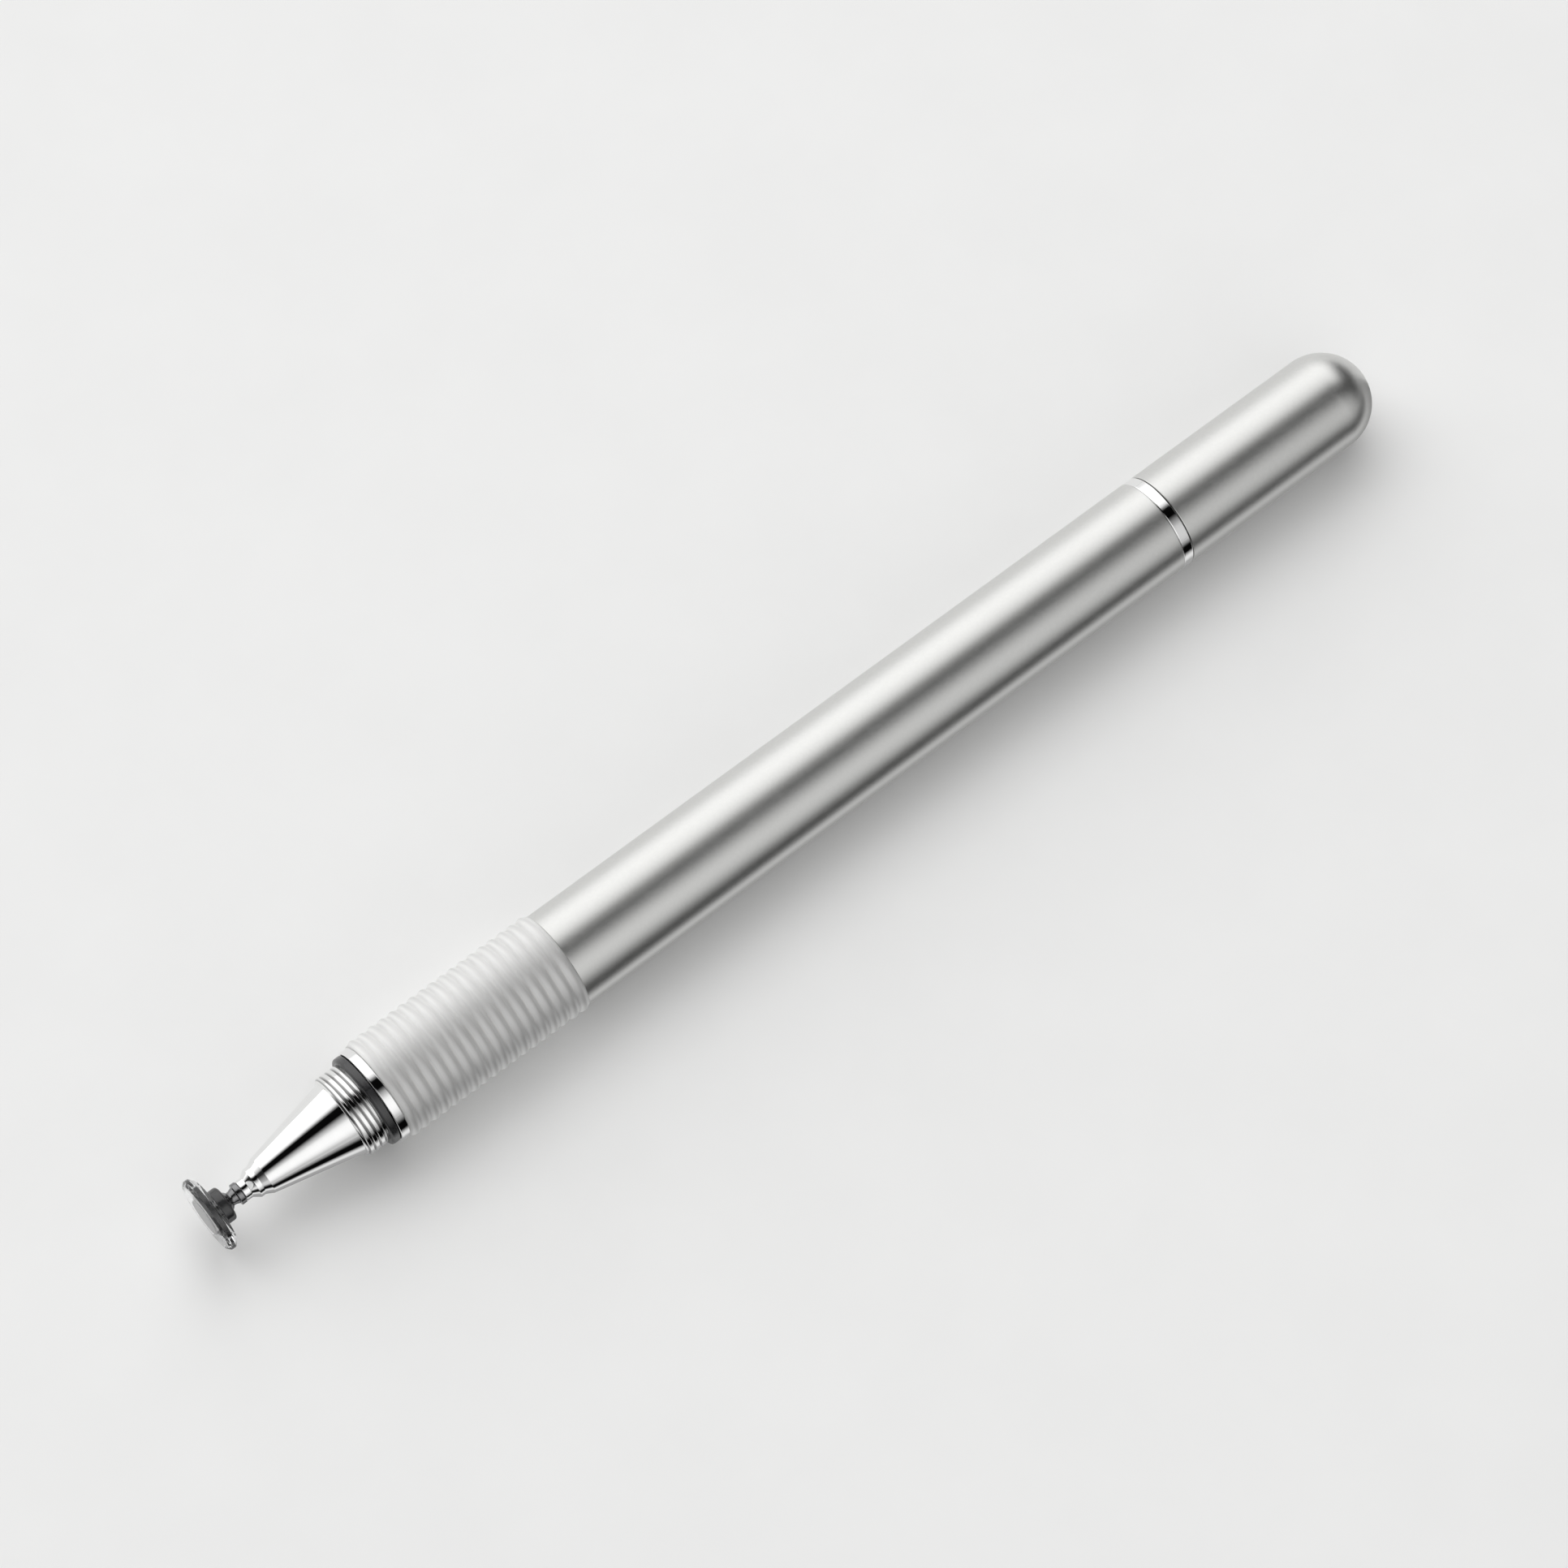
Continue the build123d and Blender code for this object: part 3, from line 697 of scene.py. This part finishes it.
class PEN_OT_ball_stem(bpy.types.Operator):
    """Ball, tapered neck, collar and shank"""

    bl_idname = "pen.ball_stem"
    bl_label = "Ball stem"

    def execute(self, context):
        shape = sizes(context)
        front, tail, _ = span("ball_stem")
        clip_front, clip_back, _ = span("stem_clip")
        socket_end = span("stylus_disc")[1]
        ball = front + shape.ball_radius
        collar = socket_end + shape.neck_length
        collar_back = collar + shape.collar_length
        groove = shape.shank_radius - shape.clip_groove
        neck_angle = math.asin(shape.neck_radius / shape.ball_radius)
        head = arc(ball, shape.ball_radius, math.pi, neck_angle, BALL_STEPS)
        root = rounded(
            (*head[-1], 0), (ball + shape.ball_radius, shape.neck_radius, BLENDED),
            (collar, shape.neck_root_radius, shape.neck_round),
            (collar, shape.collar_radius, shape.edge_round),
            (collar_back, shape.collar_radius, shape.edge_round),
            (collar_back, shape.shank_radius, 0), (clip_front, shape.shank_radius, 0),
            (clip_front, groove, 0), (clip_back, groove, 0),
            (clip_back, shape.shank_radius, 0), (tail, shape.shank_radius, shape.edge_round),
            (tail, 0, 0),
        )
        head[0, 1] = 0
        stem = turned("swivel_stem", np.concatenate([head, root[1:]]), shape.fine_segments)
        dress(stem, "stem", "ball_stem", "swivel_steel")
        return {"FINISHED"}


class PEN_OT_nose(bpy.types.Operator):
    """Polished nose: stepped tip, long cone, cut thread and shank"""

    bl_idname = "pen.nose"
    bl_label = "Polished nose"

    def execute(self, context):
        shape = sizes(context)
        front, shank_end, crest = span("nose_cone")
        gasket = span("front_gasket")[0]
        thread_end = gasket - shape.gasket_groove_width
        thread = thread_end - shape.thread_length
        root = crest - shape.thread_depth
        tip_end = front + shape.tip_length
        waist = tip_end + shape.tip_flare
        waist_end = waist + shape.waist_length
        cone = waist_end + shape.shoulder_flare
        cavity = front + shape.guide_length
        outside = rounded(
            (cavity, shape.guide_radius, 0), (front, shape.guide_radius, CRISP),
            (front, shape.tip_radius, shape.edge_round), (tip_end, shape.tip_radius, BLENDED),
            (waist, shape.waist_radius, SOFT), (waist_end, shape.waist_radius, BLENDED),
            (cone, shape.cone_radius, SOFT), (thread, root - shape.cone_shoulder, CRISP),
            (thread, root - shape.thread_chamfer_rise, CRISP),
            (thread + shape.thread_chamfer, root, 0),
        )
        start = outside[-1, 0]
        cut = band(start, thread_end, root, THREAD_ROWS)[1:-1]
        inside = rounded(
            (thread_end, root, 0), (thread_end, shape.gasket_groove_radius, 0),
            (gasket, shape.gasket_groove_radius, 0), (gasket, shape.screw_shank_radius, 0),
            (shank_end, shape.screw_shank_radius, shape.edge_round),
            (shank_end, shape.cavity_radius, 0), (cavity, shape.cavity_radius, 0),
            (cavity, STEP_POINT * shape.cavity_radius, 0),
        )
        ridge = screw(shape, start, thread_end, shape.thread_depth, shape.thread_depth, CRISP)
        nose = turned("polished_nose", np.concatenate([outside, cut, inside]), shape.segments, ridge)
        dress(nose, "pen", "nose_cone", "chrome")
        return {"FINISHED"}


class PEN_OT_gasket(bpy.types.Operator):
    """Rubber gasket behind the front thread"""

    bl_idname = "pen.gasket"
    bl_label = "Gasket"

    def execute(self, context):
        shape = sizes(context)
        front, back, radius = span("front_gasket")
        bore = shape.screw_shank_radius + CLEARANCE
        last = back - shape.gasket_gap
        rounds = shape.gasket_front_round, shape.gasket_back_round
        profile = tube(front, last, bore, radius, *rounds, steps=10)
        gasket = turned("seal_gasket", profile, shape.segments)
        dress(gasket, "pen", "front_gasket", "gasket_rubber")
        return {"FINISHED"}


class PEN_OT_rings(bpy.types.Operator):
    """Polished rings at the front of the grip and at the cap's mouth"""

    bl_idname = "pen.rings"
    bl_label = "Rings"

    def execute(self, context):
        shape = sizes(context)
        bore = shape.screw_shank_radius + CLEARANCE
        for name, node in (("polished_ring_front", "front_ring"), ("polished_ring_rear", "rear_ring")):
            front, back, radius = span(node)
            profile = tube(front, back, bore, radius, shape.ring_round, shape.ring_round)
            ring = turned(name, profile, shape.segments)
            dress(ring, "pen", node, "chrome")
        return {"FINISHED"}


class PEN_OT_grip(bpy.types.Operator):
    """Grip sleeve with a row of round ribs: a raised cosine along the pen, widened at its crests"""

    bl_idname = "pen.grip"
    bl_label = "Ribbed grip"

    def execute(self, context):
        shape = sizes(context)
        front, back, crest = span("grip_sleeve")
        bore = (BARREL_HIGH.z - BARREL_LOW.z) / 2 - shape.barrel_wall
        valley = crest - shape.rib_depth
        rows = shape.rib_count * shape.rib_rows + 1
        station = np.linspace(front, back, rows)
        place = np.linspace(0, shape.rib_count, rows)
        wave = (1 - np.cos(FULL_TURN * place)) / 2
        rib = valley + shape.rib_depth * wave ** shape.rib_fullness
        inside = rounded((back, valley, 0), (back, bore, 0), (front, bore, 0), (front, valley, 0))
        profile = np.concatenate([np.stack([station, rib], 1)[1:-1], inside])
        grip = turned("ribbed_grip", profile, shape.segments)
        dress(grip, "pen", "grip_sleeve", "grip_metal")
        return {"FINISHED"}


class PEN_OT_barrel(bpy.types.Operator):
    """Plain satin barrel"""

    bl_idname = "pen.barrel"
    bl_label = "Barrel"

    def execute(self, context):
        shape = sizes(context)
        front, back, radius = span("barrel_tube")
        bore = radius - shape.barrel_wall
        profile = tube(front, back, bore, radius, shape.edge_round, shape.edge_round)
        barrel = turned("satin_barrel", profile, shape.segments)
        dress(barrel, "pen", "barrel_tube", "satin_metal")
        return {"FINISHED"}


class PEN_OT_cap(bpy.types.Operator):
    """Screw cap with a round dome and a thread inside its mouth"""

    bl_idname = "pen.cap"
    bl_label = "Cap"

    def execute(self, context):
        shape = sizes(context)
        mouth, end, radius = span("cap_shell")
        bore = radius - shape.cap_wall
        dome = end - radius
        thread = mouth + shape.cap_lead
        thread_end = thread + shape.thread_length
        skirt = rounded(
            (dome, radius, 0), (mouth, radius, shape.edge_round),
            (mouth, bore, shape.edge_round), (thread, bore, 0),
        )
        cut = band(thread, thread_end, bore, CAP_THREAD_ROWS)[1:]
        top = arc(dome, radius, 0, math.pi / 2, DOME_STEPS)
        top[0, 1] = 0
        drilled = rounded((thread_end, bore, 0), (dome, bore, 0), (dome + shape.drill_depth, 0, 0))
        fade = CAP_FADE * shape.thread_pitch
        ridge = screw(shape, thread, thread_end, -shape.cap_thread_depth, fade, fade)
        profile = np.concatenate([top, skirt[1:], cut, drilled[1:]])
        cap = turned("domed_cap", profile, shape.segments, ridge)
        dress(cap, "cap", "cap_shell", "satin_metal")
        return {"FINISHED"}


class PEN_OT_writing_end(bpy.types.Operator):
    """Writing nose, refill tip and ball under the cap"""

    bl_idname = "pen.writing_end"
    bl_label = "Writing end"

    def execute(self, context):
        shape = sizes(context)
        shank_end, lip_end, crest = span("writing_nose")
        ring = span("rear_ring")[1]
        root = crest - shape.thread_depth
        thread_end = ring + shape.thread_length
        collar = thread_end + shape.writing_collar
        cone_end = collar + shape.writing_cone
        base = root - shape.cone_shoulder
        spigot, point_end, tube_radius = span("refill_tip")
        hole, tube_hole = shape.refill_body_radius + CLEARANCE, tube_radius + CLEARANCE
        inside = rounded(
            (collar, hole, 0), (collar, tube_hole, 0),
            (shank_end, tube_hole, 0), (shank_end, shape.screw_shank_radius, shape.edge_round),
            (ring, shape.screw_shank_radius, 0), (ring, root, 0),
        )
        last = thread_end - 2 * shape.edge_round
        cut = band(ring, last, root, THREAD_ROWS)[1:-1]
        outside = rounded(
            (last, root, 0), (thread_end, root, shape.edge_round),
            (thread_end, base, CRISP), (collar, base, BLENDED),
            (cone_end, shape.writing_lip, BLENDED), (lip_end, shape.writing_lip, shape.edge_round),
            (lip_end, hole, CRISP), (lip_end - 2 * CRISP, hole, 0),
        )
        fade = WRITING_FADE * shape.thread_pitch
        ridge = screw(shape, ring, last, shape.thread_depth, CRISP, fade)
        nose = turned("writing_cone", np.concatenate([inside, cut, outside]), shape.segments, ridge)
        dress(nose, "pen", "writing_nose", "chrome")

        ball_front, ball_end, ball_radius = span("writing_ball")
        seat = ball_radius + CLEARANCE / 2
        seat_end = (ball_front + ball_end) / 2 - seat
        flange = collar - shape.refill_flange
        profile = rounded(
            (spigot, 0, 0), (spigot, shape.refill_spigot_radius, CRISP),
            (flange, shape.refill_spigot_radius, 0), (flange, tube_radius, CRISP),
            (collar, tube_radius, CRISP), (collar, shape.refill_body_radius, 0),
            (point_end - shape.refill_point, shape.refill_body_radius, BLENDED),
            (point_end, shape.refill_mouth, FINE), (point_end, seat, shape.refill_mouth_round),
            (seat_end, seat, 0), (seat_end, 0, 0),
        )
        tip = turned("gel_tip", profile, shape.fine_segments)
        dress(tip, "pen", "refill_tip", "tip_steel")
        sphere = arc((ball_front + ball_end) / 2, ball_radius, math.pi, 0, SMALL_STEPS)
        sphere[[0, -1], 1] = 0
        ball = turned("roller_ball", sphere, 2 * SMALL_STEPS)
        dress(ball, "pen", "writing_ball", "ball_carbide")
        return {"FINISHED"}


class PEN_OT_inner_parts(bpy.types.Operator):
    """Finishes on the solids that stay inside the pen"""

    bl_idname = "pen.inner_parts"
    bl_label = "Inner parts"

    def execute(self, context):
        make_finishes(context.scene)
        inner = {
            "front_bush": "turned_brass", "rear_bush": "turned_brass",
            "refill_tube": "ink_tube", "stem_clip": "swivel_steel",
        }
        for node, finish in inner.items():
            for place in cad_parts[node].material_slots:
                place.material = bpy.data.materials[finish]
        return {"FINISHED"}


def aimed(place, back, right):
    """Matrix of a lamp or camera at a place, looking away from its back."""
    return Matrix.Translation(place) @ Matrix((right, back.cross(right), back)).transposed().to_4x4()


def soft_box(name, level):
    """A rectangular lamp facing the pen, which lights floor and matt pieces and isn't seen in metal."""
    low, high = LAMP_ANGLES
    middle = math.radians(low + high) / 2
    place = LAMP_DISTANCE * Vector((0, -math.cos(middle), math.sin(middle)))
    size = LAMP_LENGTH, 2 * LAMP_DISTANCE * math.tan(math.radians(high - low) / 2)
    data = bpy.data.lights.new(name, "AREA")
    data.shape = "RECTANGLE"
    data.size, data.size_y = size
    data.energy = level * math.pi * size[0] * size[1]
    lamp = bpy.data.objects.new(name, data)
    lamp.matrix_world = aimed(place, place.normalized(), Vector((1, 0, 0)))
    lamp.visible_camera = lamp.visible_glossy = False
    bpy.context.scene.collection.objects.link(lamp)


def flat_sheet(name, low, high, height):
    """A level rectangle of the stage between two corners."""
    mesh = bpy.data.meshes.new(name)
    corners = [(x, y, height) for x, y in (low, (high[0], low[1]), high, (low[0], high[1]))]
    mesh.from_pydata(corners, [], [(0, 1, 2, 3)])
    sheet = bpy.data.objects.new(name, mesh)
    bpy.context.scene.collection.objects.link(sheet)
    return sheet


def floor_card():
    """Glowing card beside the pen that only reflections show, no lamp: a painted reflection, bright at the
    pen, then dark, then pale.

    The ramp runs over the angle at which the pen's axis looks down on it. Its bands widen towards the cap.
    """
    material, tree, shader = blank("floor_card")
    place = put(tree, "ShaderNodeTexCoord").outputs["Object"]
    along, across, _ = put(tree, "ShaderNodeSeparateXYZ", {0: place}).outputs
    away = calc(tree, "MULTIPLY", across, -1.0)
    away = calc(tree, "DIVIDE", away, remap(tree, along, *CARD_REACH, 1.0, CARD_WIDENING))
    quarter = math.pi / 2
    down = calc(tree, "DIVIDE", calc(tree, "ARCTAN2", AXIS_Z, away), quarter)
    stops = [(math.atan2(AXIS_Z, far * MM) / quarter, level) for far, level in FLOOR_CARD]
    shade = ramp(tree, down, stops)
    shader.inputs["Base Color"].default_value = (0, 0, 0, 1)
    shader.inputs["Specular IOR Level"].default_value = 0
    shader.inputs["Emission Strength"].default_value = 1
    tree.links.new(shade, shader.inputs["Emission Color"])
    return material


def studio(stage):
    """World whose brightness follows the angle about the pen's axis, with a pale wall low at each end.

    The lamps lie a little aslant to the pen, and the near one is weaker towards the cap. The camera and
    the clear plate see a plain pale backdrop in its place.
    """
    world = bpy.data.worlds.new("studio")
    world.use_nodes = True
    tree = world.node_tree
    direction = put(tree, "ShaderNodeTexCoord").outputs["Generated"]
    along, across, upward = put(tree, "ShaderNodeSeparateXYZ", {0: direction}).outputs
    turn = calc(tree, "ARCTAN2", upward, calc(tree, "MULTIPLY", across, -1.0))
    slant = calc(tree, "MULTIPLY", remap(tree, along, *SLANT_REACH), stage.slant)
    turn = calc(tree, "ADD", turn, calc(tree, "ADD", slant, stage.slant_start))
    half_turn = calc(tree, "DIVIDE", turn, math.pi)
    far = [(angle / 180, level * stage.far_light) for angle, level in FAR_SIDE]
    front, rear = (
        ramp(tree, half_turn, [(angle / 180, level * light) for angle, level in NEAR_SIDE] + far)
        for light in (stage.near_light, stage.near_rear)
    )
    sides = blend(tree, remap(tree, along, *FADE_REACH), front, rear)
    pale = blend(tree, remap(tree, upward, *DISC_WALL), tuple(stage.wall), tuple(stage.ceiling))
    low = blend(tree, remap(tree, upward, *CAP_WALL), tuple(stage.wall), tuple(stage.ceiling))
    ends = blend(tree, remap(tree, along, *END_CHANGE), pale, low)
    beyond = calc(tree, "MAXIMUM", remap(tree, along, *DISC_END), remap(tree, along, *CAP_END))
    lamps = blend(tree, beyond, sides, ends)
    path = put(tree, "ShaderNodeLightPath").outputs
    plain = calc(tree, "MAXIMUM", path["Is Camera Ray"], path["Is Transmission Ray"])
    colour = blend(tree, plain, lamps, tuple(stage.wall))
    tree.links.new(colour, tree.nodes["Background"].inputs["Color"])
    return world


class PEN_OT_stage(bpy.types.Operator):
    """Pale floor with a card for reflections, one soft box over the pen, studio and camera"""

    bl_idname = "pen.stage"
    bl_label = "Stage"

    def execute(self, context):
        stage, scene = context.scene.pen_stage, context.scene
        make_finishes(scene)
        floor = flat_sheet("floor", (-FLOOR_REACH,) * 2, (FLOOR_REACH,) * 2, 0)
        board = grained("floor_board", stage.floor, 0.7, 0.1, 4 * MM, 4 * MICRON, 0.0, 0.985)
        board.node_tree.nodes["Principled BSDF"].inputs["Specular IOR Level"].default_value = 0
        floor.data.materials.append(board)
        card = flat_sheet("floor_card", CARD_LOW, CARD_HIGH, CLEARANCE)
        card.data.materials.append(floor_card())
        for ray in ("camera", "diffuse", "transmission", "shadow"):
            setattr(card, f"visible_{ray}", False)
        soft_box("key_light", stage.key_light)
        scene.world = studio(stage)

        turn, tilt = stage.azimuth, stage.elevation
        back = Vector((-math.sin(turn) * math.cos(tilt), -math.cos(turn) * math.cos(tilt), math.sin(tilt)))
        right = Vector((math.cos(turn), -math.sin(turn), 0))
        data = bpy.data.cameras.new("camera")
        data.lens = stage.lens
        data.clip_start = 10 * MM
        camera = bpy.data.objects.new("camera", data)
        camera.matrix_world = aimed(Vector(stage.target) + stage.distance * back, back, right)
        scene.collection.objects.link(camera)
        scene.camera = camera
        scene.view_settings.view_transform = "Standard"
        return {"FINISHED"}


PIECES = (
    PEN_OT_touch_disc, PEN_OT_ball_stem, PEN_OT_nose, PEN_OT_gasket, PEN_OT_rings, PEN_OT_grip,
    PEN_OT_barrel, PEN_OT_cap, PEN_OT_writing_end, PEN_OT_inner_parts, PEN_OT_stage,
)
SETTINGS = {"pen_shape": PenShape, "pen_finish": PenFinish, "pen_stage": PenStage}


class PEN_PT_sidebar(bpy.types.Panel):
    """Sizes, finishes and pieces of the pen"""

    bl_label = "Stylus pen"
    bl_idname = "PEN_PT_sidebar"
    bl_space_type = "VIEW_3D"
    bl_region_type = "UI"
    bl_category = "Pen"

    def draw(self, context):
        for key, kind in SETTINGS.items():
            column = self.layout.box().column()
            for name in kind.__annotations__:
                title = name.replace("_", " ").capitalize()
                column.prop(getattr(context.scene, key), name, text=title)
        for piece in PIECES:
            self.layout.operator(piece.bl_idname)


CLASSES = (*SETTINGS.values(), *PIECES, PEN_PT_sidebar)


def register():
    for kind in CLASSES:
        bpy.utils.register_class(kind)
    for key, kind in SETTINGS.items():
        setattr(bpy.types.Scene, key, PointerProperty(type=kind))


def unregister():
    for key in SETTINGS:
        delattr(bpy.types.Scene, key)
    for kind in reversed(CLASSES):
        bpy.utils.unregister_class(kind)


def main():
    register()
    for piece in PIECES:
        area, name = piece.bl_idname.split(".")
        getattr(getattr(bpy.ops, area), name)()


if __name__ == "__main__":
    main()
